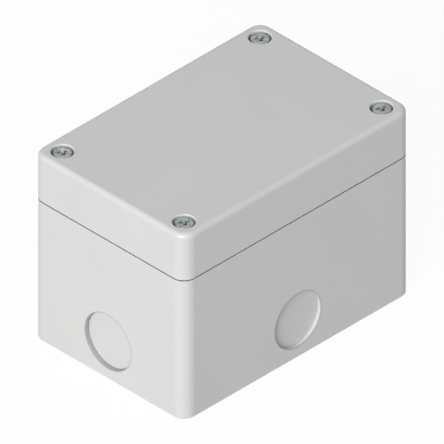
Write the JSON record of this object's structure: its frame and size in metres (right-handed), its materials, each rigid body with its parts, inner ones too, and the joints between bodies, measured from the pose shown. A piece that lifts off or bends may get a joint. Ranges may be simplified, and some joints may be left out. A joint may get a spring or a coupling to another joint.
{
  "type": "pushbutton enclosure",
  "caption": "Blank rectangular wall-mounted enclosure: a moulded base with round cable knockouts and a deep flat lid held by captive corner screws.",
  "frame": {"origin": "centre of the wall side, on the wall plane", "axes": "+X along the long side, +Y along the short side, +Z out of the wall towards the lid"},
  "size_m": [0.12, 0.08, 0.084],
  "materials": {
    "housing": "fine satin moulded texture, light grey",
    "gasket": "matt black elastomer",
    "screws": "bright stainless steel",
    "retainers": "natural nylon",
    "inserts": "turned brass"
  },
  "bodies": {
    "root": {"enclosure_base": "housing", "lid": "housing", "lid_gasket": "gasket", "lid_screw_front_left": "screws", "lid_screw_front_right": "screws", "lid_screw_rear_left": "screws", "lid_screw_rear_right": "screws", "screw_retainer_front_left": "retainers", "screw_retainer_front_right": "retainers", "screw_retainer_rear_left": "retainers", "screw_retainer_rear_right": "retainers", "pillar_insert_front_left": "inserts", "pillar_insert_front_right": "inserts", "pillar_insert_rear_left": "inserts", "pillar_insert_rear_right": "inserts"}
  },
  "joints": []
}
